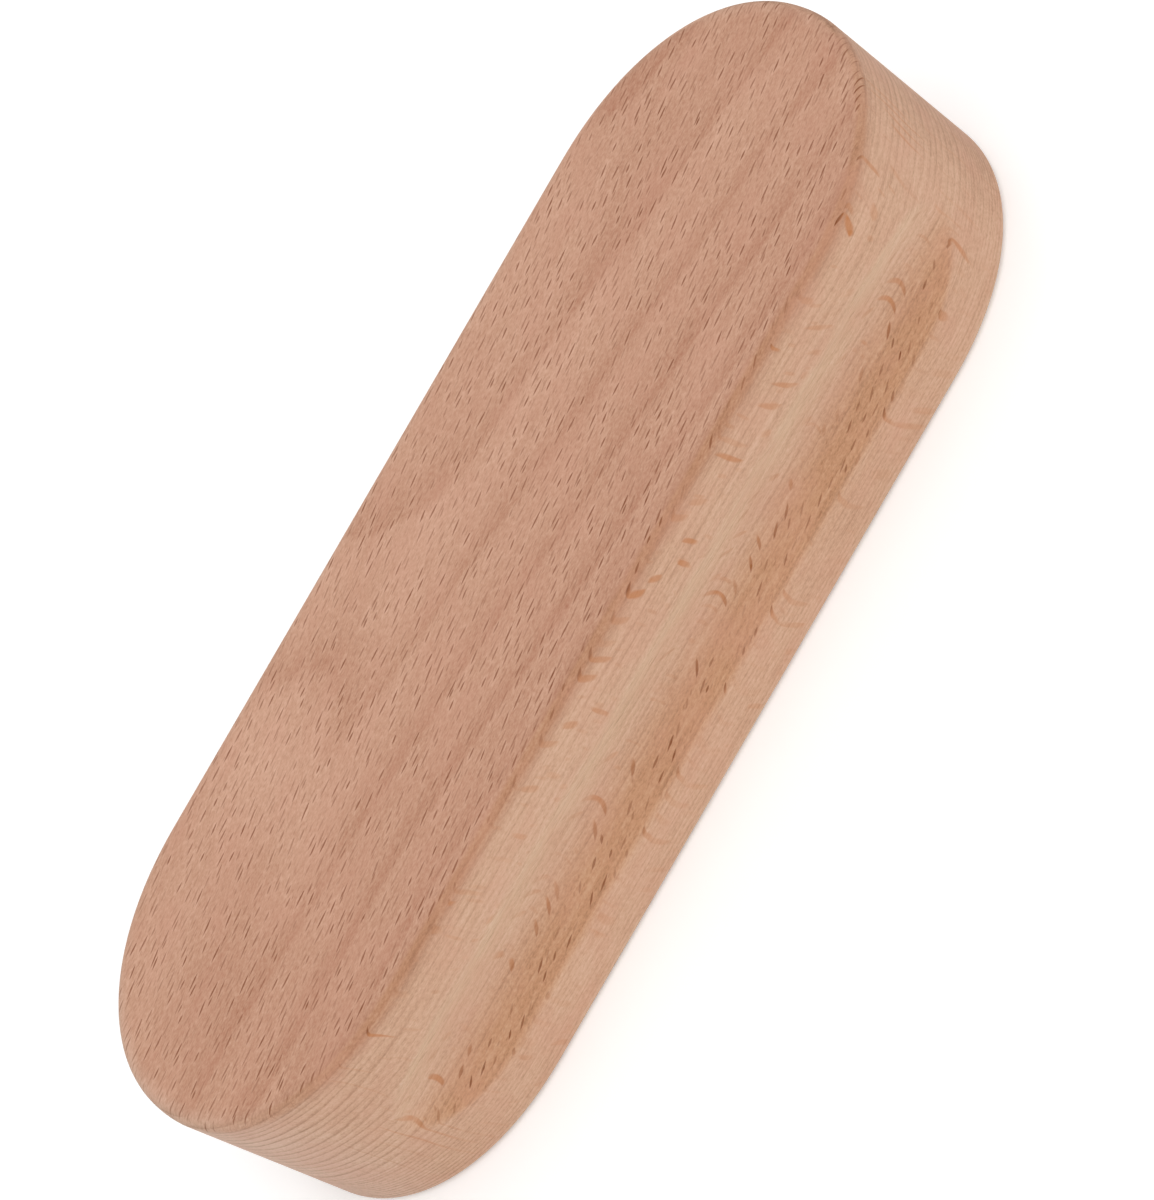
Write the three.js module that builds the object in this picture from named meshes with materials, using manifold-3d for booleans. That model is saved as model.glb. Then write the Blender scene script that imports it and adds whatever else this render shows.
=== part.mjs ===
// A tailor's clapper: one solid block of beech that is pressed on a steamed seam by hand.
// Millimetres, +Z up, +Y along the block. The origin is on the resting face, under the block's middle.
import * as THREE from "three";
import { mergeVertices } from "three/addons/utils/BufferGeometryUtils.js";
import Module from "manifold-3d";

const wasm = await Module();
wasm.setup();

// The block
const blockLength = 200; // tip to tip, along Y
const blockWidth = 61.8; // across the straight sides, along X
const blockThickness = 42; // from the resting face up to the pressing face
const endReach = 38; // from the end of a straight side to the tip
const endFullness = 2.13; // 2 is a half ellipse, and more gives squarer shoulders
const arrisRadius = 1.8; // sanded edge all round both flat faces

// The finger groove along each side
const grooveDepth = 4.2;
const grooveLevel = 19.6; // height of its deepest line over the resting face
const grooveReachUp = 12; // from the deepest line to the upper edge
const grooveReachDown = 10;
const upperLipRadius = 5; // softened edges between the groove and the side
const lowerLipRadius = 3.5;

// Facets
const endFacets = 22; // on each quarter of the outline
const arrisFacets = 4;
const hollowFacets = 7; // from the deepest line to each lip
const lipFacets = 3;

const beech = new THREE.MeshStandardMaterial({
  name: "oiled_beech",
  color: 0xc4967a,
  roughness: 0.62,
  metalness: 0,
});

// A closed geometry as a solid that can be cut.
function toSolid(geometry) {
  const bare = geometry.clone();
  bare.deleteAttribute("normal");
  bare.deleteAttribute("uv");
  const merged = mergeVertices(bare, 1e-4);
  const mesh = new wasm.Mesh({
    numProp: 3,
    vertProperties: new Float32Array(merged.attributes.position.array),
    triVerts: new Uint32Array(merged.index.array),
  });
  return new wasm.Manifold(mesh);
}

function toGeometry(solid) {
  const mesh = solid.getMesh();
  const geometry = new THREE.BufferGeometry();
  geometry.setAttribute("position", new THREE.BufferAttribute(mesh.vertProperties, 3));
  geometry.setIndex(new THREE.BufferAttribute(mesh.triVerts, 1));
  geometry.computeVertexNormals();
  return geometry;
}

// One end of the plan: a superellipse from the +X side round the tip to the -X side.
function endCurve() {
  const points = [];
  for (let i = 0; i <= 2 * endFacets; i++) {
    const turn = (i / (2 * endFacets)) * Math.PI;
    const across = Math.abs(Math.cos(turn)) ** (2 / endFullness) * Math.sign(Math.cos(turn));
    const along = Math.abs(Math.sin(turn)) ** (2 / endFullness);
    const x = (blockWidth / 2) * across;
    const y = blockLength / 2 - endReach + endReach * along;
    points.push(new THREE.Vector2(x, y));
  }
  return points;
}

// Both ends, with the straight sides between them.
function planOutline() {
  const farEnd = endCurve();
  const nearEnd = farEnd.map((p) => new THREE.Vector2(-p.x, -p.y));
  return new THREE.Shape([...farEnd, ...nearEnd]);
}

// The block before its grooves are cut, standing on z = 0.
function roundedBlock() {
  const geometry = new THREE.ExtrudeGeometry(planOutline(), {
    depth: blockThickness - 2 * arrisRadius,
    bevelSize: arrisRadius,
    bevelOffset: -arrisRadius,
    bevelThickness: arrisRadius,
    bevelSegments: arrisFacets,
  });
  return geometry.translate(0, 0, arrisRadius);
}

// Half of the groove's section, from its deepest line to one edge. Here x is outward from the side and y is
// the distance from the deepest line. A hollow arc is joined to a lip arc that ends flush with the side.
function grooveHalf(reach, lipRadius) {
  const centreDistance = (reach ** 2 + grooveDepth ** 2) / (2 * grooveDepth);
  const hollowRadius = centreDistance - lipRadius;
  const lipTurn = Math.asin(reach / centreDistance);
  const points = [];
  for (let i = 0; i < hollowFacets; i++) {
    const turn = (i / hollowFacets) * lipTurn;
    const x = hollowRadius * (1 - Math.cos(turn)) - grooveDepth;
    points.push(new THREE.Vector2(x, hollowRadius * Math.sin(turn)));
  }
  for (let i = 0; i <= lipFacets; i++) {
    const turn = (1 - i / lipFacets) * lipTurn;
    const x = lipRadius * (Math.cos(turn) - 1);
    points.push(new THREE.Vector2(x, reach - lipRadius * Math.sin(turn)));
  }
  return points;
}

// The whole section, closed well outside the block.
function grooveSection() {
  const upper = grooveHalf(grooveReachUp, upperLipRadius);
  const lower = grooveHalf(grooveReachDown, lowerLipRadius).map((p) => new THREE.Vector2(p.x, -p.y));
  const outside = [
    new THREE.Vector2(grooveDepth, -grooveReachDown),
    new THREE.Vector2(grooveDepth, grooveReachUp),
  ];
  return new THREE.Shape([...upper.reverse(), ...lower.slice(1), ...outside]);
}

// The cutter of one groove runs straight past both tips, so the groove fades out where the end curves in.
// Turned half way round for the other side, with the section kept upright.
function grooveCutter(side) {
  const geometry = new THREE.ExtrudeGeometry(grooveSection(), {
    depth: blockLength,
    bevelEnabled: false,
  });
  geometry.rotateX(Math.PI / 2);
  geometry.translate(blockWidth / 2, blockLength / 2, grooveLevel);
  if (side < 0) geometry.rotateZ(Math.PI);
  return geometry;
}

// The finished block, with its groove in each long side.
function clapperBlock() {
  let solid = toSolid(roundedBlock());
  for (const side of [1, -1]) {
    solid = solid.subtract(toSolid(grooveCutter(side)));
  }
  const mesh = new THREE.Mesh(toGeometry(solid), beech);
  mesh.name = "clapper_block";
  return mesh;
}

const tailorsClapper = new THREE.Group();
tailorsClapper.name = "tailors_clapper";
tailorsClapper.add(clapperBlock());

export default tailorsClapper;
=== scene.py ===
import math
import bpy
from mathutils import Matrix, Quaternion, Vector


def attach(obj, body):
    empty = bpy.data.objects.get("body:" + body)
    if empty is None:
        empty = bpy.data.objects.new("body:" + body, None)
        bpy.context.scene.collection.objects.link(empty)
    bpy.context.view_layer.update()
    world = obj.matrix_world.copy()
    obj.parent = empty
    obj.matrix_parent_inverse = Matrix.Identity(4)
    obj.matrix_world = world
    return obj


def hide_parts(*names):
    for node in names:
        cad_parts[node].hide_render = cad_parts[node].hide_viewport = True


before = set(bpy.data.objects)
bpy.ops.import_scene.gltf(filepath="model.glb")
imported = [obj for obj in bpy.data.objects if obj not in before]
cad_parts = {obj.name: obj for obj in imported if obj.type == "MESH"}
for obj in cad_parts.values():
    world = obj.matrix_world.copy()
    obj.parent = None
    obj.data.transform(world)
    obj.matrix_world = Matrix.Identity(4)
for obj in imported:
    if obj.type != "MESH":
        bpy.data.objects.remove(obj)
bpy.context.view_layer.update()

scene = bpy.context.scene
scene.view_settings.view_transform = "Standard"
mm = 0.001


# One node with its settings and what feeds it. A socket is given by its name or number,
# and its value may be another node.
def addNode(tree, kind, feeds=None, **settings):
    node = tree.nodes.new(kind)
    for name, value in settings.items():
        setattr(node, name, value)
    for key, value in (feeds or {}).items():
        if isinstance(key, int):
            socket = node.inputs[key]
        else:
            socket = next(s for s in node.inputs if s.enabled and s.name == key)
        if isinstance(value, bpy.types.Node):
            value = next(s for s in value.outputs if s.enabled)
        if isinstance(value, bpy.types.NodeSocket):
            tree.links.new(value, socket)
        else:
            socket.default_value = value
    return node


# sRGB hex to the linear colour that a socket takes
def toLinear(hexColour):
    parts = [int(hexColour[i:i + 2], 16) / 255 for i in (1, 3, 5)]
    linear = [c / 12.92 if c <= 0.04045 else ((c + 0.055) / 1.055) ** 2.4 for c in parts]
    return (*linear, 1.0)


def setStops(ramp, stops):
    elements = ramp.color_ramp.elements
    while len(elements) < len(stops):
        elements.new(1.0)
    for element, (place, colour) in zip(elements, stops):
        element.position = place
        element.color = toLinear(colour) if isinstance(colour, str) else (colour, colour, colour, 1.0)


# Camera

cameraView = {
    "place": (457.24, -8.20, 479.47),  # mm
    "aim": (2.65, 1.83, 21.0),  # mm
    "roll": -58.96,  # degrees
    "lens": 121.47,  # mm, on a 36 mm sensor
}


def makeCamera(view):
    data = bpy.data.cameras.new("camera")
    data.lens = view["lens"]
    data.sensor_width = 36.0
    data.clip_start = 0.05
    data.clip_end = 50.0
    camera = bpy.data.objects.new("camera", data)
    scene.collection.objects.link(camera)
    place = Vector(view["place"]) * mm
    looking = Vector(view["aim"]) * mm - place
    camera.location = place
    camera.rotation_mode = "QUATERNION"
    roll = Quaternion((0.0, 0.0, 1.0), math.radians(view["roll"]))
    camera.rotation_quaternion = looking.to_track_quat("-Z", "Y") @ roll
    scene.camera = camera


makeCamera(cameraView)
print("camera placed")


# Floor and lights

studio = {
    "floorSize": 12.0,  # m
    "floorColour": "#F4F4F4",
    "floorLift": 0.26,  # how far the floor is raised to white where the camera sees it
    "worldLevel": 0.5,
    "lamps": (  # place in m, width in m, watts
        ((0.3, 0.1, 2.2), 1.8, 20.0),
        ((2.2, 0.35, 0.4), 1.2, 18.0),
        ((-1.8, 0.6, 1.1), 1.2, 8.0),
    ),
}


# 1 for rays that show a thing to the camera, straight or by gloss or glass, and 0 for rays that only light
def seenByCamera(tree):
    rays = addNode(tree, "ShaderNodeLightPath").outputs
    seen = addNode(tree, "ShaderNodeMath", {0: rays["Is Camera Ray"], 1: rays["Is Glossy Ray"]},
                   operation="ADD", use_clamp=True)
    return addNode(tree, "ShaderNodeMath", {0: seen, 1: rays["Is Transmission Ray"]},
                   operation="ADD", use_clamp=True)


def makeFloor(settings):
    half = settings["floorSize"] / 2
    mesh = bpy.data.meshes.new("floor")
    corners = [(-half, -half, 0.0), (half, -half, 0.0), (half, half, 0.0), (-half, half, 0.0)]
    mesh.from_pydata(corners, [], [(0, 1, 2, 3)])
    floor = bpy.data.objects.new("floor", mesh)
    scene.collection.objects.link(floor)
    paper = bpy.data.materials.new("white studio paper")  # matt, with a soft shadow and no gloss
    paper.use_nodes = True
    tree = paper.node_tree
    tree.nodes.clear()
    lift = addNode(tree, "ShaderNodeMath", {0: seenByCamera(tree), 1: settings["floorLift"]},
                   operation="MULTIPLY")
    matt = addNode(tree, "ShaderNodeBsdfDiffuse", {"Color": toLinear(settings["floorColour"])})
    glow = addNode(tree, "ShaderNodeEmission", {"Strength": lift})
    both = addNode(tree, "ShaderNodeAddShader", {0: matt, 1: glow})
    addNode(tree, "ShaderNodeOutputMaterial", {"Surface": both})
    mesh.materials.append(paper)


def makeLights(settings):
    world = bpy.data.worlds.new("studio")
    scene.world = world
    world.use_nodes = True
    tree = world.node_tree
    tree.nodes.clear()
    level = addNode(tree, "ShaderNodeMapRange",
                    {"Value": seenByCamera(tree), "To Min": settings["worldLevel"], "To Max": 1.0})
    sky = addNode(tree, "ShaderNodeBackground", {"Color": (1.0, 1.0, 1.0, 1.0), "Strength": level})
    addNode(tree, "ShaderNodeOutputWorld", {"Surface": sky})
    for number, (place, width, watts) in enumerate(settings["lamps"]):
        data = bpy.data.lights.new(f"soft lamp {number + 1}", "AREA")
        data.size = width
        data.energy = watts
        lamp = bpy.data.objects.new(data.name, data)
        lamp.location = place
        lamp.rotation_mode = "QUATERNION"
        lamp.rotation_quaternion = (-Vector(place)).to_track_quat("-Z", "Y")
        scene.collection.objects.link(lamp)


makeFloor(studio)
makeLights(studio)
print("floor and lights made")


# The block, a cylinder whose points are moved on to a superellipse-ended plan

blockSizes = {  # mm
    "Length": 200.0,
    "Width": 61.8,
    "Thickness": 42.0,
    "End Reach": 38.0,
    "Arris Radius": 1.8,
    "Groove Depth": 4.2,
    "Groove Height": 19.6,  # of its deepest line over the resting face
    "Reach Up": 12.0,  # from the deepest line to the groove's upper edge
    "Reach Down": 10.0,
    "Upper Lip": 5.0,  # radius of the sanded edge
    "Lower Lip": 3.5,
    "Sanding": 0.5,  # softens the line where the groove runs out on the round ends
}
blockShape = {
    "End Fullness": 2.13,  # 2 is a half ellipse
}
blockFaces = {
    "round": 480,  # points round the plan
    "planPoints": 960,
    "arris": 8,
    "side": 84,
}


def blockTree(faces):
    tree = bpy.data.node_groups.new("clapper block shape", "GeometryNodeTree")
    tree.is_modifier = True
    for name in (*blockSizes, *blockShape):
        tree.interface.new_socket(name, in_out="INPUT", socket_type="NodeSocketFloat")
    tree.interface.new_socket("Material", in_out="INPUT", socket_type="NodeSocketMaterial")
    tree.interface.new_socket("Geometry", in_out="OUTPUT", socket_type="NodeSocketGeometry")
    given = addNode(tree, "NodeGroupInput").outputs
    halfWidth = addNode(tree, "ShaderNodeMath", {0: given["Width"], 1: 0.5}, operation="MULTIPLY")
    halfLength = addNode(tree, "ShaderNodeMath", {0: given["Length"], 1: 0.5}, operation="MULTIPLY")
    halfThickness = addNode(tree, "ShaderNodeMath", {0: given["Thickness"], 1: 0.5}, operation="MULTIPLY")

    # The plan: a unit circle with its points moved out to the straight sides and the full ends
    circle = addNode(tree, "GeometryNodeCurvePrimitiveCircle",
                     {"Resolution": faces["planPoints"], "Radius": 1.0}, mode="RADIUS")
    around = addNode(tree, "ShaderNodeSeparateXYZ", {0: addNode(tree, "GeometryNodeInputPosition")})
    power = addNode(tree, "ShaderNodeMath", {0: 2.0, 1: given["End Fullness"]}, operation="DIVIDE")
    flat = {}
    for axis in "XY":
        away = addNode(tree, "ShaderNodeMath", {0: around.outputs[axis]}, operation="ABSOLUTE")
        fuller = addNode(tree, "ShaderNodeMath", {0: away, 1: power}, operation="POWER")
        side = addNode(tree, "ShaderNodeMath", {0: around.outputs[axis]}, operation="SIGN")
        flat[axis] = (fuller, side)
    across = addNode(tree, "ShaderNodeMath", {0: flat["X"][0], 1: halfWidth}, operation="MULTIPLY")
    planX = addNode(tree, "ShaderNodeMath", {0: across, 1: flat["X"][1]}, operation="MULTIPLY")
    straight = addNode(tree, "ShaderNodeMath", {0: halfLength, 1: given["End Reach"]}, operation="SUBTRACT")
    along = addNode(tree, "ShaderNodeMath", {0: flat["Y"][0], 1: given["End Reach"], 2: straight},
                    operation="MULTIPLY_ADD")
    planY = addNode(tree, "ShaderNodeMath", {0: along, 1: flat["Y"][1]}, operation="MULTIPLY")
    planPlace = addNode(tree, "ShaderNodeCombineXYZ", {"X": planX, "Y": planY})
    plan = addNode(tree, "GeometryNodeSetPosition", {"Geometry": circle, "Position": planPlace})

    # The cylinder gives the faces. How far round it a point is picks its place on the plan.
    segments = 2 * faces["arris"] + faces["side"]
    cylinder = addNode(tree, "GeometryNodeMeshCylinder",
                       {"Vertices": faces["round"], "Side Segments": segments, "Radius": 1.0, "Depth": 1.0},
                       fill_type="NGON")
    start = addNode(tree, "ShaderNodeSeparateXYZ", {0: addNode(tree, "GeometryNodeInputPosition")})
    angle = addNode(tree, "ShaderNodeMath", {0: start.outputs["Y"], 1: start.outputs["X"]},
                    operation="ARCTAN2")
    turns = addNode(tree, "ShaderNodeMath", {0: angle, 1: 2 * math.pi}, operation="DIVIDE")
    share = addNode(tree, "ShaderNodeMath", {0: turns, 1: 1.0, 2: 0.0}, operation="WRAP")
    onPlan = addNode(tree, "GeometryNodeSampleCurve", {"Curves": plan, "Factor": share},
                     mode="FACTOR", use_all_curves=True)
    outward = addNode(tree, "ShaderNodeVectorMath", {0: onPlan.outputs["Tangent"], 1: (0.0, 0.0, 1.0)},
                      operation="CROSS_PRODUCT")

    # The edge from one flat face to the other: a quarter round, the side, a quarter round
    step = addNode(tree, "ShaderNodeMath", {0: start.outputs["Z"], 1: segments}, operation="MULTIPLY")
    stepAway = addNode(tree, "ShaderNodeMath", {0: step}, operation="ABSOLUTE")
    fromFace = addNode(tree, "ShaderNodeMath", {0: segments / 2, 1: stepAway}, operation="SUBTRACT")
    roundShare = addNode(tree, "ShaderNodeMath", {0: fromFace, 1: float(faces["arris"])},
                         operation="DIVIDE", use_clamp=True)
    roundTurn = addNode(tree, "ShaderNodeMath", {0: roundShare, 1: math.pi / 2}, operation="MULTIPLY")
    roundSine = addNode(tree, "ShaderNodeMath", {0: roundTurn}, operation="SINE")
    roundCosine = addNode(tree, "ShaderNodeMath", {0: roundTurn}, operation="COSINE")
    insetShare = addNode(tree, "ShaderNodeMath", {0: 1.0, 1: roundSine}, operation="SUBTRACT")
    inset = addNode(tree, "ShaderNodeMath", {0: insetShare, 1: given["Arris Radius"]}, operation="MULTIPLY")
    riseShare = addNode(tree, "ShaderNodeMath", {0: 1.0, 1: roundCosine}, operation="SUBTRACT")
    rise = addNode(tree, "ShaderNodeMath", {0: riseShare, 1: given["Arris Radius"]}, operation="MULTIPLY")
    flatSide = addNode(tree, "ShaderNodeMath", {0: halfThickness, 1: given["Arris Radius"]},
                       operation="SUBTRACT")
    sideShare = addNode(tree, "ShaderNodeMapRange",
                        {"Value": fromFace, "From Min": float(faces["arris"]), "From Max": segments / 2})
    climb = addNode(tree, "ShaderNodeMath", {0: sideShare, 1: flatSide, 2: rise}, operation="MULTIPLY_ADD")
    fromMiddle = addNode(tree, "ShaderNodeMath", {0: halfThickness, 1: climb}, operation="SUBTRACT")
    upOrDown = addNode(tree, "ShaderNodeMath", {0: step}, operation="SIGN")
    height = addNode(tree, "ShaderNodeMath", {0: fromMiddle, 1: upOrDown}, operation="MULTIPLY")
    pulledIn = addNode(tree, "ShaderNodeVectorMath", {0: outward, "Scale": inset}, operation="SCALE")
    edge = addNode(tree, "ShaderNodeVectorMath", {0: onPlan.outputs["Position"], 1: pulledIn},
                   operation="SUBTRACT")
    edgePlace = addNode(tree, "ShaderNodeSeparateXYZ", {0: edge})

    # The finger groove: a cutter run straight along each side, which no point may stand beyond. From its
    # deepest line a hollow arc reaches up and another down, and each is joined to a lip arc that runs out
    # flush with the side.
    finalZ = addNode(tree, "ShaderNodeMath", {0: height, 1: halfThickness}, operation="ADD")
    overDeepest = addNode(tree, "ShaderNodeMath", {0: finalZ, 1: given["Groove Height"]},
                          operation="SUBTRACT")
    isAbove = addNode(tree, "ShaderNodeMath", {0: overDeepest, 1: 0.0}, operation="GREATER_THAN")
    reach = addNode(tree, "ShaderNodeMix",
                    {"Factor": isAbove, "A": given["Reach Down"], "B": given["Reach Up"]})
    lip = addNode(tree, "ShaderNodeMix",
                  {"Factor": isAbove, "A": given["Lower Lip"], "B": given["Upper Lip"]})
    away = addNode(tree, "ShaderNodeMath", {0: overDeepest}, operation="ABSOLUTE")
    reachSquare = addNode(tree, "ShaderNodeMath", {0: reach, 1: reach}, operation="MULTIPLY")
    bothSquares = addNode(tree, "ShaderNodeMath", {0: given["Groove Depth"], 1: given["Groove Depth"],
                                                   2: reachSquare}, operation="MULTIPLY_ADD")
    twiceDepth = addNode(tree, "ShaderNodeMath", {0: given["Groove Depth"], 1: 2.0}, operation="MULTIPLY")
    bothRadii = addNode(tree, "ShaderNodeMath", {0: bothSquares, 1: twiceDepth}, operation="DIVIDE")
    hollow = addNode(tree, "ShaderNodeMath", {0: bothRadii, 1: lip}, operation="SUBTRACT")
    hollowShare = addNode(tree, "ShaderNodeMath", {0: hollow, 1: bothRadii}, operation="DIVIDE")
    joint = addNode(tree, "ShaderNodeMath", {0: reach, 1: hollowShare}, operation="MULTIPLY")
    hollowLift = addNode(tree, "ShaderNodeMath", {0: hollow, 1: given["Groove Depth"]},
                         operation="SUBTRACT")
    hollowSquare = addNode(tree, "ShaderNodeMath", {0: hollow, 1: hollow}, operation="MULTIPLY")
    awaySquare = addNode(tree, "ShaderNodeMath", {0: away, 1: away}, operation="MULTIPLY")
    hollowRest = addNode(tree, "ShaderNodeMath", {0: hollowSquare, 1: awaySquare}, operation="SUBTRACT")
    hollowKept = addNode(tree, "ShaderNodeMath", {0: hollowRest, 1: 0.0}, operation="MAXIMUM")
    hollowChord = addNode(tree, "ShaderNodeMath", {0: hollowKept}, operation="SQRT")
    hollowDepth = addNode(tree, "ShaderNodeMath", {0: hollowChord, 1: hollowLift}, operation="SUBTRACT")
    inward = addNode(tree, "ShaderNodeMath", {0: reach, 1: away}, operation="SUBTRACT")
    inwardSquare = addNode(tree, "ShaderNodeMath", {0: inward, 1: inward}, operation="MULTIPLY")
    lipSquare = addNode(tree, "ShaderNodeMath", {0: lip, 1: lip}, operation="MULTIPLY")
    lipRest = addNode(tree, "ShaderNodeMath", {0: lipSquare, 1: inwardSquare}, operation="SUBTRACT")
    lipKept = addNode(tree, "ShaderNodeMath", {0: lipRest, 1: 0.0}, operation="MAXIMUM")
    lipChord = addNode(tree, "ShaderNodeMath", {0: lipKept}, operation="SQRT")
    lipFall = addNode(tree, "ShaderNodeMath", {0: lip, 1: lipChord}, operation="SUBTRACT")
    insideOrOut = addNode(tree, "ShaderNodeMath", {0: inward}, operation="SIGN")
    lipDepth = addNode(tree, "ShaderNodeMath", {0: lipFall, 1: insideOrOut}, operation="MULTIPLY")
    inHollow = addNode(tree, "ShaderNodeMath", {0: away, 1: joint}, operation="LESS_THAN")
    grooveDepth = addNode(tree, "ShaderNodeMix", {"Factor": inHollow, "A": lipDepth, "B": hollowDepth})
    limit = addNode(tree, "ShaderNodeMath", {0: halfWidth, 1: grooveDepth}, operation="SUBTRACT")
    wideness = addNode(tree, "ShaderNodeMath", {0: edgePlace.outputs["X"]}, operation="ABSOLUTE")
    cut = addNode(tree, "ShaderNodeMath", {0: wideness, 1: limit, 2: given["Sanding"]},
                  operation="SMOOTH_MIN")
    leftOrRight = addNode(tree, "ShaderNodeMath", {0: edgePlace.outputs["X"]}, operation="SIGN")
    finalX = addNode(tree, "ShaderNodeMath", {0: cut, 1: leftOrRight}, operation="MULTIPLY")
    finalPlace = addNode(tree, "ShaderNodeCombineXYZ",
                         {"X": finalX, "Y": edgePlace.outputs["Y"], "Z": finalZ})
    shaped = addNode(tree, "GeometryNodeSetPosition", {"Geometry": cylinder, "Position": finalPlace})
    flatShaded = addNode(tree, "GeometryNodeSetShadeSmooth", {"Geometry": shaped, "Shade Smooth": False})
    smooth = addNode(tree, "GeometryNodeSetShadeSmooth",
                     {"Geometry": flatShaded, "Selection": cylinder.outputs["Side"], "Shade Smooth": True})
    realized = addNode(tree, "GeometryNodeRealizeInstances", {"Geometry": smooth})
    finished = addNode(tree, "GeometryNodeSetMaterial",
                       {"Geometry": realized, "Material": given["Material"]})
    addNode(tree, "NodeGroupOutput", {"Geometry": finished})
    return tree


# Beech, flat-sawn so that the year rings lie nearly level, planed, routed, sanded and thinly oiled. It
# gives a pinkish tan face with short dark ray flecks, paler sides with ring lines and a few narrow orange
# rays, and little gloss.
beech = {
    "topTones": ("#AB7358", "#C5967C", "#DEB299"),  # flat-sawn faces: dark, middle, light
    "sideTones": ("#AA7F63", "#CCA489", "#DFBDA5"),  # quarter-sawn sides
    "endTones": ("#AC8870", "#D4B09A", "#E4C8B5"),  # end grain, made paler by painted sheen
    "risingTones": ("#91684B", "#BF8F6D", "#D3AB8C"),  # the lower half of the hollow, cut across the rays
    "paintedHighlightTones": ("#B28D71", "#D3B295", "#E5CBB3"),  # its upper half, which faces down and is made paler by painted highlight standing in for light bounced up from the floor and grazing sheen
    "edgeTones": ("#895C43", "#AC7A5E", "#C79C7F"),  # rounded edge, where the cut fibres take up more oil
    "blush": "#CC967F",  # pinker wood in soft patches
    "fleck": "#783E18",
    "sideRay": "#B8733F",
    "endRay": "#8F6D58",
    "grainTurn": -8.4,  # degrees between the grain and the block's length
    "grainBend": (2.4, 5.0, 0.0),  # mm across, along and up, from least to most
    "rayLean": 3.3,  # degrees that the rays stand off the upright
    "rays": (  # broad and fine: spacing across and along the grain, half width and half length, in mm
        (1.12, 4.0, 0.23, 1.95),
        (0.62, 2.7, 0.15, 0.8),
    ),
    "fleckStrength": 0.8,  # of the rays on level faces
    "ribbonStrength": 0.66,  # on the sides
    "rings": 32.0,  # years from the top to the base
    "ringSlope": 0.0102,  # rings that their surfaces climb in each mm towards +Y
    "ringFall": 171.5,  # less makes them fall faster across the top, towards +X
    "darkYear": -21.6,  # counted down from the top
    "bands": 0.22,  # from here to fibres, how strongly each pattern tones the wood
    "slowTone": 0.25,
    "streaks": 0.2,
    "sideLines": 0.52,
    "fibres": 0.95,
    "roughness": 0.62,
    "patches": (  # darker or lighter wood: middle x and y, half width and half length in mm, tone
        (-4.0, -77.0, 15.0, 22.0, -0.14),
        (-16.0, -46.0, 15.0, 16.0, 0.16),
        (-13.0, 70.0, 20.0, 42.0, -0.13),
        (11.0, 80.0, 11.0, 26.0, 0.12),
        (-4.0, 104.0, 26.0, 24.0, -0.2),
    ),
}


# Rays: thin upright sheets, each a spindle in plan that runs through the whole thickness. coreOnly is 1
# where they show in full, and more where only their cores show. Each set gives its mask, how far off the
# nearest ray's middle a place is, and that ray's strength.
def addRays(tree, wood, bent, coreOnly):
    raySets = []
    echelon = math.atan(0.5)  # turns the rows of rays, so that few of them lie side by side
    for spaceAcross, spaceAlong, halfWide, halfLong in wood["rays"]:
        # Location only keeps the two sets from falling together
        scaled = addNode(tree, "ShaderNodeMapping",
                         {"Vector": bent, "Scale": (1 / spaceAcross, 1 / spaceAlong, 0.0),
                          "Rotation": (0, 0, echelon), "Location": (spaceAlong * 3, spaceAlong * 5, 0)})
        cells = addNode(tree, "ShaderNodeTexVoronoi", {"Vector": scaled, "Scale": 1.0, "Randomness": 0.72},
                        voronoi_dimensions="2D", feature="F1")
        fromRay = addNode(tree, "ShaderNodeVectorMath", {0: scaled, 1: cells.outputs["Position"]},
                          operation="SUBTRACT")
        # Turned back and measured in half widths and half lengths of the ray
        inSizes = addNode(tree, "ShaderNodeMapping",
                          {"Vector": fromRay, "Rotation": (0, 0, echelon),
                           "Scale": (halfWide / spaceAcross, halfLong / spaceAlong, 1)},
                          vector_type="TEXTURE")
        rayPlace = addNode(tree, "ShaderNodeSeparateXYZ", {0: inSizes})
        chance = addNode(tree, "ShaderNodeSeparateColor", {0: cells.outputs["Color"]})
        size = addNode(tree, "ShaderNodeMapRange",
                       {"Value": chance.outputs["Red"], "To Min": 0.5, "To Max": 1.15})
        mostAskew = 0.08 * halfLong / halfWide
        askew = addNode(tree, "ShaderNodeMapRange",
                        {"Value": chance.outputs["Blue"], "To Min": -mostAskew, "To Max": mostAskew})
        turned = addNode(tree, "ShaderNodeMath",
                         {0: rayPlace.outputs["Y"], 1: askew, 2: rayPlace.outputs["X"]},
                         operation="MULTIPLY_ADD")
        offAcross = addNode(tree, "ShaderNodeMath", {0: turned}, operation="ABSOLUTE")
        offAlong = addNode(tree, "ShaderNodeMath", {0: rayPlace.outputs["Y"], 1: size}, operation="DIVIDE")
        off = addNode(tree, "ShaderNodeMath", {0: offAlong, 1: offAlong, 2: offAcross},
                      operation="MULTIPLY_ADD")
        offShown = addNode(tree, "ShaderNodeMath", {0: off, 1: coreOnly}, operation="MULTIPLY")
        inside = addNode(tree, "ShaderNodeMapRange",
                         {"Value": offShown, "From Min": 1.0, "From Max": 0.4},
                         interpolation_type="SMOOTHSTEP")
        strength = addNode(tree, "ShaderNodeMath", {0: chance.outputs["Green"], 1: 1.1}, operation="POWER")
        mask = addNode(tree, "ShaderNodeMath", {0: inside, 1: strength}, operation="MULTIPLY")
        raySets.append((mask, off, strength))
    return raySets


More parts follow.
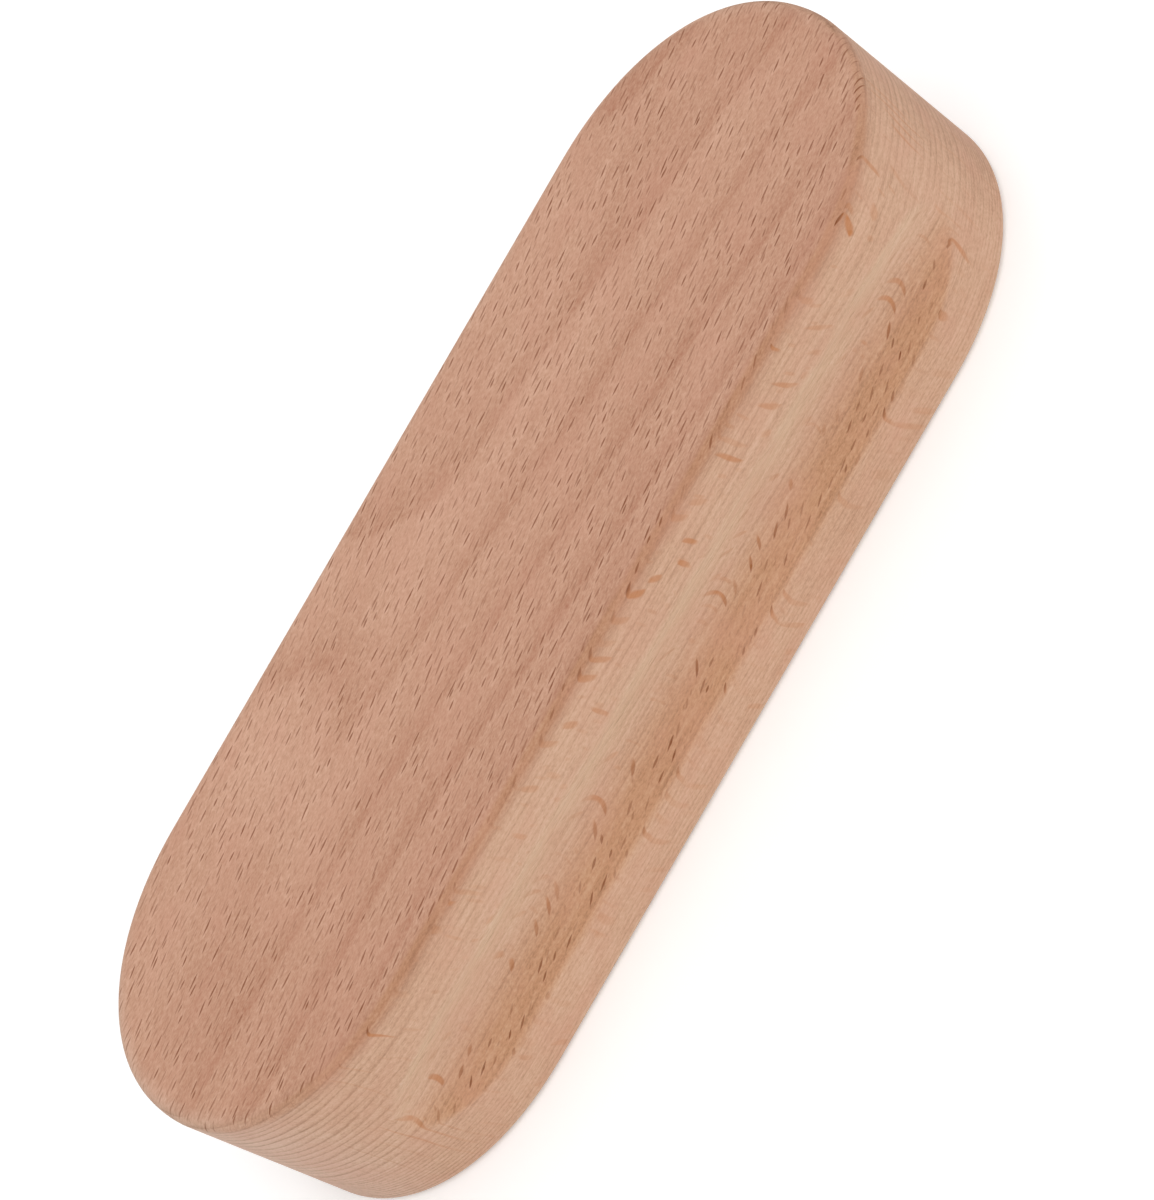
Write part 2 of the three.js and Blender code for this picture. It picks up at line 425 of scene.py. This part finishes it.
# Year rings, counted from the top down. Their surfaces lie nearly level, so the top cuts them in long
# arcs that close towards the -X side of the low-Y end.
def addRings(tree, wood, blockMm, grain):
    # How many rings their surfaces have climbed over a place on the top
    slope = addNode(tree, "ShaderNodeMath", {0: blockMm.outputs["Y"], 1: wood["ringSlope"], 2: 1.4},
                    operation="MULTIPLY_ADD")
    climb = addNode(tree, "ShaderNodeMath", {0: slope, 1: 0.94, 2: 0.1}, operation="SMOOTH_MAX")
    fromFarSide = addNode(tree, "ShaderNodeMath", {0: blockMm.outputs["X"], 1: 31.0}, operation="ADD")
    fromFarKept = addNode(tree, "ShaderNodeMath", {0: fromFarSide, 1: 0.0}, operation="MAXIMUM")
    farPower = addNode(tree, "ShaderNodeMath", {0: fromFarKept, 1: 1.6}, operation="POWER")
    ringRise = addNode(tree, "ShaderNodeMath", {0: farPower, 1: -1 / wood["ringFall"], 2: climb},
                       operation="MULTIPLY_ADD")
    arcAcross = addNode(tree, "ShaderNodeMapRange",
                        {"Value": blockMm.outputs["X"], "From Min": -4.0, "From Max": -22.0},
                        interpolation_type="SMOOTHSTEP")
    arcAlong = addNode(tree, "ShaderNodeMapRange",
                       {"Value": blockMm.outputs["Y"], "From Min": 15.0, "From Max": -45.0, "To Max": 1.15},
                       interpolation_type="SMOOTHSTEP")
    arc = addNode(tree, "ShaderNodeMath", {0: arcAcross, 1: arcAlong}, operation="MULTIPLY")
    arched = addNode(tree, "ShaderNodeMath", {0: ringRise, 1: arc}, operation="SUBTRACT")
    # Rings passed on the way down, wide in the middle and narrow near the base
    thickness = blockSizes["Thickness"]
    depth = addNode(tree, "ShaderNodeMath", {0: thickness, 1: blockMm.outputs["Z"]}, operation="SUBTRACT")
    depthShare = addNode(tree, "ShaderNodeMath", {0: depth, 1: thickness}, operation="DIVIDE",
                         use_clamp=True)
    ringsPassed = addNode(tree, "ShaderNodeValToRGB", {0: depthShare})
    setStops(ringsPassed, ((0.0, 0.0), (0.12, 0.12), (0.71, 0.556), (1.0, 1.0)))
    layers = addNode(tree, "ShaderNodeMath", {0: ringsPassed, 1: -wood["rings"], 2: arched},
                     operation="MULTIPLY_ADD")
    ringPlace = addNode(tree, "ShaderNodeMapping", {"Vector": grain, "Scale": (0.05, 0.014, 0.17)})
    ringNoise = addNode(tree, "ShaderNodeTexNoise", {"Vector": ringPlace, "Scale": 1.0, "Detail": 2.0})
    ringMiddle = addNode(tree, "ShaderNodeMath", {0: ringNoise, 1: 0.5}, operation="SUBTRACT")
    ringLoose = addNode(tree, "ShaderNodeMapRange",
                        {"Value": depth, "From Max": 8.0, "To Min": 0.5, "To Max": 1.6})
    ringShift = addNode(tree, "ShaderNodeMath", {0: ringMiddle, 1: ringLoose, 2: layers},
                        operation="MULTIPLY_ADD")
    return ringShift


# How much a place is part of the rounded upper edge, and how pale the edge is there. It is brown along the
# +X side, shows pale end grain round the tips, and is paler along the other side and at the low-Y tip,
# where the paleness is painted sheen.
def addEdge(tree, blockMm, ringsAndSheenAtLowEnd):
    # How far out a place is, 1 on the outline of the plan
    fullness = blockShape["End Fullness"]
    endReach = blockSizes["End Reach"]
    endStart = blockSizes["Length"] / 2 - endReach
    outShares = []
    for axis, straight, reach in (("X", 0.0, blockSizes["Width"] / 2), ("Y", endStart, endReach)):
        away = addNode(tree, "ShaderNodeMath", {0: blockMm.outputs[axis]}, operation="ABSOLUTE")
        share = addNode(tree, "ShaderNodeMapRange",
                        {"Value": away, "From Min": straight, "From Max": straight + reach})
        outShares.append(addNode(tree, "ShaderNodeMath", {0: share, 1: fullness}, operation="POWER"))
    outSum = addNode(tree, "ShaderNodeMath", {0: outShares[0], 1: outShares[1]}, operation="ADD")
    outness = addNode(tree, "ShaderNodeMath", {0: outSum, 1: 1 / fullness}, operation="POWER")
    nearOutline = addNode(tree, "ShaderNodeMapRange", {"Value": outness, "From Min": 0.9, "From Max": 1.0})
    tipShare = addNode(tree, "ShaderNodeMath", {0: outShares[1], 1: outSum}, operation="DIVIDE")
    tipPower = addNode(tree, "ShaderNodeMath", {0: tipShare, 1: 1.5}, operation="POWER")
    # Painted sheen: the edge is made paler along the -X side
    farSideSheen = addNode(tree, "ShaderNodeMapRange",
                        {"Value": blockMm.outputs["X"], "From Min": 5.0, "From Max": -28.0, "To Max": 0.6})
    paleEndAndSheenShare = addNode(tree, "ShaderNodeMath", {0: tipPower, 1: ringsAndSheenAtLowEnd, 2: farSideSheen},
                        operation="MULTIPLY_ADD", use_clamp=True)
    outlinePower = addNode(tree, "ShaderNodeMath", {0: paleEndAndSheenShare, 1: -0.7, 2: 2.0},
                           operation="MULTIPLY_ADD")
    outlineShare = addNode(tree, "ShaderNodeMath", {0: nearOutline, 1: outlinePower}, operation="POWER")
    thickness = blockSizes["Thickness"]
    nearTop = addNode(tree, "ShaderNodeMapRange",
                      {"Value": blockMm.outputs["Z"], "From Min": thickness - 4.2,
                       "From Max": thickness - 0.4})
    upperShare = addNode(tree, "ShaderNodeMath", {0: nearTop, 1: 1.4}, operation="POWER")
    edgeShare = addNode(tree, "ShaderNodeMath", {0: outlineShare, 1: upperShare}, operation="MULTIPLY")
    return edgeShare, paleEndAndSheenShare


def beechWood(wood):
    material = bpy.data.materials.new("oiled beech")
    material.use_nodes = True
    tree = material.node_tree
    tree.nodes.clear()
    turn = math.radians(wood["grainTurn"])
    place = addNode(tree, "ShaderNodeTexCoord")
    facing = addNode(tree, "ShaderNodeSeparateXYZ", {0: place.outputs["Normal"]})
    facingUp = addNode(tree, "ShaderNodeMath", {0: facing.outputs["Z"]}, operation="ABSOLUTE")
    alongGrain = addNode(tree, "ShaderNodeVectorMath",
                         {0: place.outputs["Normal"], 1: (math.sin(turn), math.cos(turn), 0.0)},
                         operation="DOT_PRODUCT")
    facingEnd = addNode(tree, "ShaderNodeMath", {0: alongGrain.outputs["Value"]}, operation="ABSOLUTE")
    acrossGrain = addNode(tree, "ShaderNodeMapRange",
                          {"Value": facingEnd, "From Min": 0.2, "From Max": 0.85},
                          interpolation_type="SMOOTHSTEP")
    # The low-Y end shows end grain whose paler colour is partly painted sheen, and the other end keeps the
    # warmer colour of the sides
    endGrainAndSheenShare = addNode(tree, "ShaderNodeMapRange",
                       {"Value": alongGrain.outputs["Value"], "From Min": -0.6, "From Max": -0.95},
                       interpolation_type="SMOOTHSTEP")
    risingShare = addNode(tree, "ShaderNodeMapRange",
                          {"Value": facing.outputs["Z"], "From Min": -0.05, "From Max": 0.48})
    # Painted highlight: faces turned down, as in the upper half of the hollow, take the paler tones in
    # place of floor bounce and grazing sheen
    paintedHighlightShare = addNode(tree, "ShaderNodeMapRange",
                           {"Value": facing.outputs["Z"], "From Min": -0.02, "From Max": -0.5})
    topShare = addNode(tree, "ShaderNodeMapRange",
                       {"Value": facingUp, "From Min": 0.8, "From Max": 0.99},
                       interpolation_type="SMOOTHSTEP")
    block = addNode(tree, "ShaderNodeMapping",
                    {"Vector": place.outputs["Object"], "Scale": (1000, 1000, 1000)})
    blockMm = addNode(tree, "ShaderNodeSeparateXYZ", {0: block})
    # Rings are clearest at the low-Y end too, and the painted sheen on the pale edge is strongest there
    ringsAndSheenAtLowEnd = addNode(tree, "ShaderNodeMapRange",
                           {"Value": blockMm.outputs["Y"], "From Min": -60.0, "From Max": 60.0,
                            "To Min": 1.0, "To Max": 0.55})
    grain = addNode(tree, "ShaderNodeMapping",
                    {"Vector": place.outputs["Object"], "Scale": (1000, 1000, 1000),
                     "Rotation": (0, math.radians(wood["rayLean"]), turn)})

    # Slow bend of the grain, shared by the rays and the fibres
    bendPlace = addNode(tree, "ShaderNodeMapping", {"Vector": grain, "Scale": (0.04, 0.012, 0.05)})
    bendNoise = addNode(tree, "ShaderNodeTexNoise", {"Vector": bendPlace, "Scale": 1.0, "Detail": 1.0})
    bendMiddle = addNode(tree, "ShaderNodeVectorMath", {0: bendNoise.outputs["Color"], 1: (0.5, 0.5, 0.5)},
                         operation="SUBTRACT")
    bendMm = addNode(tree, "ShaderNodeVectorMath", {0: bendMiddle, 1: wood["grainBend"]},
                     operation="MULTIPLY")
    bent = addNode(tree, "ShaderNodeVectorMath", {0: grain, 1: bendMm}, operation="ADD")

    # Rays show in full on the flat faces, and only their cores on the sides and where the hollow slants
    offLevel = addNode(tree, "ShaderNodeMapRange",
                       {"Value": facingUp, "From Min": 0.15, "From Max": 0.95,
                        "To Min": 1.4, "To Max": 1.0})
    notTop = addNode(tree, "ShaderNodeMath", {0: 1.0, 1: topShare}, operation="SUBTRACT")
    slanted = addNode(tree, "ShaderNodeMath", {0: risingShare, 1: notTop}, operation="MULTIPLY")
    coreOnly = addNode(tree, "ShaderNodeMath", {0: slanted, 1: 0.45, 2: offLevel}, operation="MULTIPLY_ADD")
    (broadRays, broadOff, broadStrength), (fineRays, *_) = addRays(tree, wood, bent, coreOnly)
    nearRay = addNode(tree, "ShaderNodeMapRange", {"Value": broadOff, "From Min": 4.6, "From Max": 1.5},
                      interpolation_type="SMOOTHSTEP")
    rayGlints = addNode(tree, "ShaderNodeMath", {0: nearRay, 1: broadStrength}, operation="MULTIPLY")

    ringShift = addRings(tree, wood, blockMm, grain)
    ringShare = addNode(tree, "ShaderNodeMath", {0: ringShift}, operation="FRACT")
    ringNumber = addNode(tree, "ShaderNodeMath", {0: ringShift}, operation="FLOOR")
    ringChance = addNode(tree, "ShaderNodeTexWhiteNoise", {"W": ringNumber}, noise_dimensions="1D")
    ringStrength = addNode(tree, "ShaderNodeMapRange", {"Value": ringChance, "To Min": 0.45, "To Max": 1.0})
    ringRamp = addNode(tree, "ShaderNodeValToRGB", {0: ringShare})
    setStops(ringRamp, ((0.0, 0.0), (0.1, 0.12), (0.3, 0.5), (0.75, 0.68), (0.93, 0.6), (1.0, 0.0)))
    ringTone = addNode(tree, "ShaderNodeMath", {0: ringRamp, 1: 0.5}, operation="SUBTRACT")
    # Rings show faintly on the sides, more on the flat faces, and most where the grain is cut across
    endWeight = addNode(tree, "ShaderNodeMath", {0: ringsAndSheenAtLowEnd, 1: 0.65}, operation="MULTIPLY")
    sideWeight = addNode(tree, "ShaderNodeMath", {0: acrossGrain, 1: endWeight, 2: 0.32},
                         operation="MULTIPLY_ADD")
    ringWeight = addNode(tree, "ShaderNodeMath", {0: topShare, 1: 0.2, 2: sideWeight},
                         operation="MULTIPLY_ADD")
    ringPower = addNode(tree, "ShaderNodeMath", {0: ringWeight, 1: ringStrength}, operation="MULTIPLY")

    # Uneven bands within the rings, slow tone, lengthwise streaks, fine lines on the sides, and fibres
    bandNoise = addNode(tree, "ShaderNodeTexNoise", {"W": ringShift, "Scale": 2.2, "Detail": 3.0,
                                                     "Roughness": 0.7}, noise_dimensions="1D")
    slowPlace = addNode(tree, "ShaderNodeMapping", {"Vector": grain, "Scale": (0.06, 0.022, 0.05)})
    slowNoise = addNode(tree, "ShaderNodeTexNoise", {"Vector": slowPlace, "Scale": 1.0, "Detail": 2.0})
    streakPlace = addNode(tree, "ShaderNodeMapping", {"Vector": bent, "Scale": (0.35, 0.018, 0.35)})
    streakNoise = addNode(tree, "ShaderNodeTexNoise", {"Vector": streakPlace, "Scale": 1.0, "Detail": 3.0})
    linePlace = addNode(tree, "ShaderNodeMapping", {"Vector": bent, "Scale": (1.2, 0.05, 1.9)})
    lineNoise = addNode(tree, "ShaderNodeTexNoise", {"Vector": linePlace, "Scale": 1.0, "Detail": 2.0})
    fibrePlace = addNode(tree, "ShaderNodeMapping", {"Vector": bent, "Scale": (3.4, 1.4, 3.4)})
    fibreNoise = addNode(tree, "ShaderNodeTexNoise", {"Vector": fibrePlace, "Scale": 1.0, "Detail": 3.0,
                                                      "Roughness": 0.6})
    lineWeight = addNode(tree, "ShaderNodeMath", {0: notTop, 1: wood["sideLines"]}, operation="MULTIPLY")
    fibreWeight = addNode(tree, "ShaderNodeMath", {0: topShare, 1: 0.1, 2: wood["fibres"]},
                          operation="MULTIPLY_ADD")
    # One year's late wood is darker than the rest, and runs along the sides near the grooves' lower edges
    fromDarkYear = addNode(tree, "ShaderNodeMath", {0: ringShift, 1: wood["darkYear"]},
                           operation="SUBTRACT")
    darkYearAway = addNode(tree, "ShaderNodeMath", {0: fromDarkYear}, operation="ABSOLUTE")
    darkYear = addNode(tree, "ShaderNodeMapRange",
                       {"Value": darkYearAway, "From Min": 0.45, "From Max": 0.05, "To Max": -0.14},
                       interpolation_type="SMOOTHSTEP")

    # All tones added up about a middle of 0.5, where 0.1 is about five to seven levels out of 255
    plain = addNode(tree, "ShaderNodeMath", {0: darkYear, 1: 0.5}, operation="ADD")
    tone = addNode(tree, "ShaderNodeMath", {0: ringTone, 1: ringPower, 2: plain}, operation="MULTIPLY_ADD")
    for noise, weight in ((bandNoise, wood["bands"]), (slowNoise, wood["slowTone"]),
                          (streakNoise, wood["streaks"]), (lineNoise, lineWeight),
                          (fibreNoise, fibreWeight)):
        middle = addNode(tree, "ShaderNodeMath", {0: noise, 1: 0.5}, operation="SUBTRACT")
        tone = addNode(tree, "ShaderNodeMath", {0: middle, 1: weight, 2: tone}, operation="MULTIPLY_ADD")
    # Painted shade: the high-Y end is darker
    paintedShadeHighEnd = addNode(tree, "ShaderNodeMapRange",
                       {"Value": alongGrain.outputs["Value"], "From Min": 0.35, "From Max": 0.8,
                        "To Max": -0.22}, interpolation_type="SMOOTHSTEP")
    tone = addNode(tree, "ShaderNodeMath", {0: tone, 1: paintedShadeHighEnd}, operation="ADD")
    # Painted glint: a pale rim round each broad ray on the flat faces
    glintWeight = addNode(tree, "ShaderNodeMath", {0: topShare, 1: 0.17}, operation="MULTIPLY")
    tone = addNode(tree, "ShaderNodeMath", {0: rayGlints, 1: glintWeight, 2: tone},
                   operation="MULTIPLY_ADD")
    for x, y, halfAcross, halfAlong, patchTone in wood["patches"]:
        inPatch = addNode(tree, "ShaderNodeMapping",
                          {"Vector": block, "Location": (-x / halfAcross, -y / halfAlong, 0),
                           "Scale": (1 / halfAcross, 1 / halfAlong, 0)})
        patch = addNode(tree, "ShaderNodeTexGradient", {"Vector": inPatch}, gradient_type="SPHERICAL")
        tone = addNode(tree, "ShaderNodeMath", {0: patch.outputs["Fac"], 1: patchTone, 2: tone},
                       operation="MULTIPLY_ADD")
    # The +X half of the top is a little darker
    plusXHalf = addNode(tree, "ShaderNodeMapRange",
                        {"Value": blockMm.outputs["X"], "From Min": -2.0, "From Max": 14.0, "To Max": 0.1})
    plusXTop = addNode(tree, "ShaderNodeMath", {0: plusXHalf, 1: topShare}, operation="MULTIPLY")
    tone = addNode(tree, "ShaderNodeMath", {0: tone, 1: plusXTop}, operation="SUBTRACT")

    colours = {}
    for cutFace in ("topTones", "sideTones", "endTones", "risingTones", "paintedHighlightTones", "edgeTones"):
        ramp = addNode(tree, "ShaderNodeValToRGB", {0: tone})
        dark, middle, light = wood[cutFace]
        setStops(ramp, ((0.0, dark), (0.5, middle), (1.0, light)))
        colours[cutFace] = ramp
    upright = addNode(tree, "ShaderNodeMix", {"Factor": endGrainAndSheenShare, "A": colours["sideTones"],
                                              "B": colours["endTones"]}, data_type="RGBA")
    rising = addNode(tree, "ShaderNodeMix",
                     {"Factor": risingShare, "A": upright, "B": colours["risingTones"]},
                     data_type="RGBA")
    hollowed = addNode(tree, "ShaderNodeMix", {"Factor": paintedHighlightShare, "A": rising,
                                               "B": colours["paintedHighlightTones"]}, data_type="RGBA")
    planed = addNode(tree, "ShaderNodeMix", {"Factor": topShare, "A": hollowed, "B": colours["topTones"]},
                     data_type="RGBA")
    edgeShare, paleEndAndSheenShare = addEdge(tree, blockMm, ringsAndSheenAtLowEnd)
    edgeColour = addNode(tree, "ShaderNodeMix", {"Factor": paleEndAndSheenShare, "A": colours["edgeTones"],
                                                 "B": colours["endTones"]}, data_type="RGBA")
    edged = addNode(tree, "ShaderNodeMix", {"Factor": edgeShare, "A": planed, "B": edgeColour},
                    data_type="RGBA")
    blushPlace = addNode(tree, "ShaderNodeMapping", {"Vector": grain, "Scale": (0.16, 0.1, 0.16)})
    blushNoise = addNode(tree, "ShaderNodeTexNoise", {"Vector": blushPlace, "Scale": 1.0, "Detail": 2.0})
    blushShare = addNode(tree, "ShaderNodeMapRange",
                         {"Value": blushNoise, "From Min": 0.42, "From Max": 0.72, "To Max": 0.28})
    bare = addNode(tree, "ShaderNodeMix", {"Factor": blushShare, "A": edged, "B": toLinear(wood["blush"])},
                   data_type="RGBA")

    # The rays: dark flecks where the face is level, warm ribbons where it is upright, and greyer marks on
    # the pale end
    rayUpright = addNode(tree, "ShaderNodeMix", {"Factor": endGrainAndSheenShare, "A": toLinear(wood["sideRay"]),
                                                 "B": toLinear(wood["endRay"])}, data_type="RGBA")
    rayLevel = addNode(tree, "ShaderNodeMapRange", {"Value": facingUp, "From Min": 0.1, "From Max": 0.45})
    rayColour = addNode(tree, "ShaderNodeMix",
                        {"Factor": rayLevel, "A": rayUpright, "B": toLinear(wood["fleck"])},
                        data_type="RGBA")
    raySum = addNode(tree, "ShaderNodeMath", {0: fineRays, 1: 0.35, 2: broadRays}, operation="MULTIPLY_ADD")
    endFading = addNode(tree, "ShaderNodeMapRange",
                        {"Value": acrossGrain, "To Min": wood["ribbonStrength"], "To Max": 0.2})
    # They are fainter on the end grain and below the grooves
    lowFading = addNode(tree, "ShaderNodeMapRange",
                        {"Value": blockMm.outputs["Z"], "From Min": 8.0, "From Max": 12.0, "To Min": 0.38})
    uprightWeight = addNode(tree, "ShaderNodeMath", {0: endFading, 1: lowFading}, operation="MULTIPLY")
    rayWeight = addNode(tree, "ShaderNodeMix",
                        {"Factor": rayLevel, "A": uprightWeight, "B": wood["fleckStrength"]})
    # Little of them is seen in the upper half of the hollow, where the cut runs along their sheets
    falling = addNode(tree, "ShaderNodeMapRange",
                      {"Value": facing.outputs["Z"], "From Min": -1.0, "From Max": 0.0})
    rayFading = addNode(tree, "ShaderNodeValToRGB", {0: falling})
    setStops(rayFading, ((0.0, 1.0), (0.1, 0.8), (0.3, 0.3), (0.85, 0.35), (1.0, 1.0)))
    rayShown = addNode(tree, "ShaderNodeMath", {0: rayWeight, 1: rayFading}, operation="MULTIPLY")
    rayShare = addNode(tree, "ShaderNodeMath", {0: raySum, 1: rayShown}, operation="MULTIPLY",
                       use_clamp=True)
    flecked = addNode(tree, "ShaderNodeMix", {"Factor": rayShare, "A": bare, "B": rayColour},
                      data_type="RGBA")

    bumpHeight = addNode(tree, "ShaderNodeMath", {0: broadRays, 1: -0.6, 2: fibreNoise},
                         operation="MULTIPLY_ADD")
    bump = addNode(tree, "ShaderNodeBump", {"Strength": 0.25, "Distance": 0.05 * mm, "Height": bumpHeight})
    rough = addNode(tree, "ShaderNodeMapRange",
                    {"Value": fibreNoise,
                     "To Min": wood["roughness"] - 0.1, "To Max": wood["roughness"] + 0.1})
    surface = addNode(tree, "ShaderNodeBsdfPrincipled",
                      {"Base Color": flecked, "Roughness": rough, "Normal": bump, "IOR": 1.45,
                       "Specular IOR Level": 0.25, "Sheen Weight": 0.1, "Sheen Roughness": 0.5,
                       "Sheen Tint": toLinear("#F0D0B8")})
    addNode(tree, "ShaderNodeOutputMaterial", {"Surface": surface})
    return material


def makeBlock(sizes, shape, faces, material):
    holder = bpy.data.objects.new("block holder", bpy.data.meshes.new("block holder"))
    scene.collection.objects.link(holder)
    shaping = holder.modifiers.new("shape", "NODES")
    shaping.node_group = blockTree(faces)
    identifiers = {socket.name: socket.identifier for socket in shaping.node_group.interface.items_tree
                   if socket.in_out == "INPUT"}
    for name, value in sizes.items():
        shaping[identifiers[name]] = value * mm
    for name, value in shape.items():
        shaping[identifiers[name]] = value
    shaping[identifiers["Material"]] = material
    depsgraph = bpy.context.evaluated_depsgraph_get()
    mesh = bpy.data.meshes.new_from_object(holder.evaluated_get(depsgraph))
    holder.modifiers.clear()
    bpy.data.objects.remove(holder)
    mesh.name = "beech block"
    piece = bpy.data.objects.new("beech_block", mesh)
    scene.collection.objects.link(piece)
    return piece


beechBlock = makeBlock(blockSizes, blockShape, blockFaces, beechWood(beech))
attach(beechBlock, "root")
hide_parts("clapper_block")
print("block made:", len(beechBlock.data.vertices), "points")
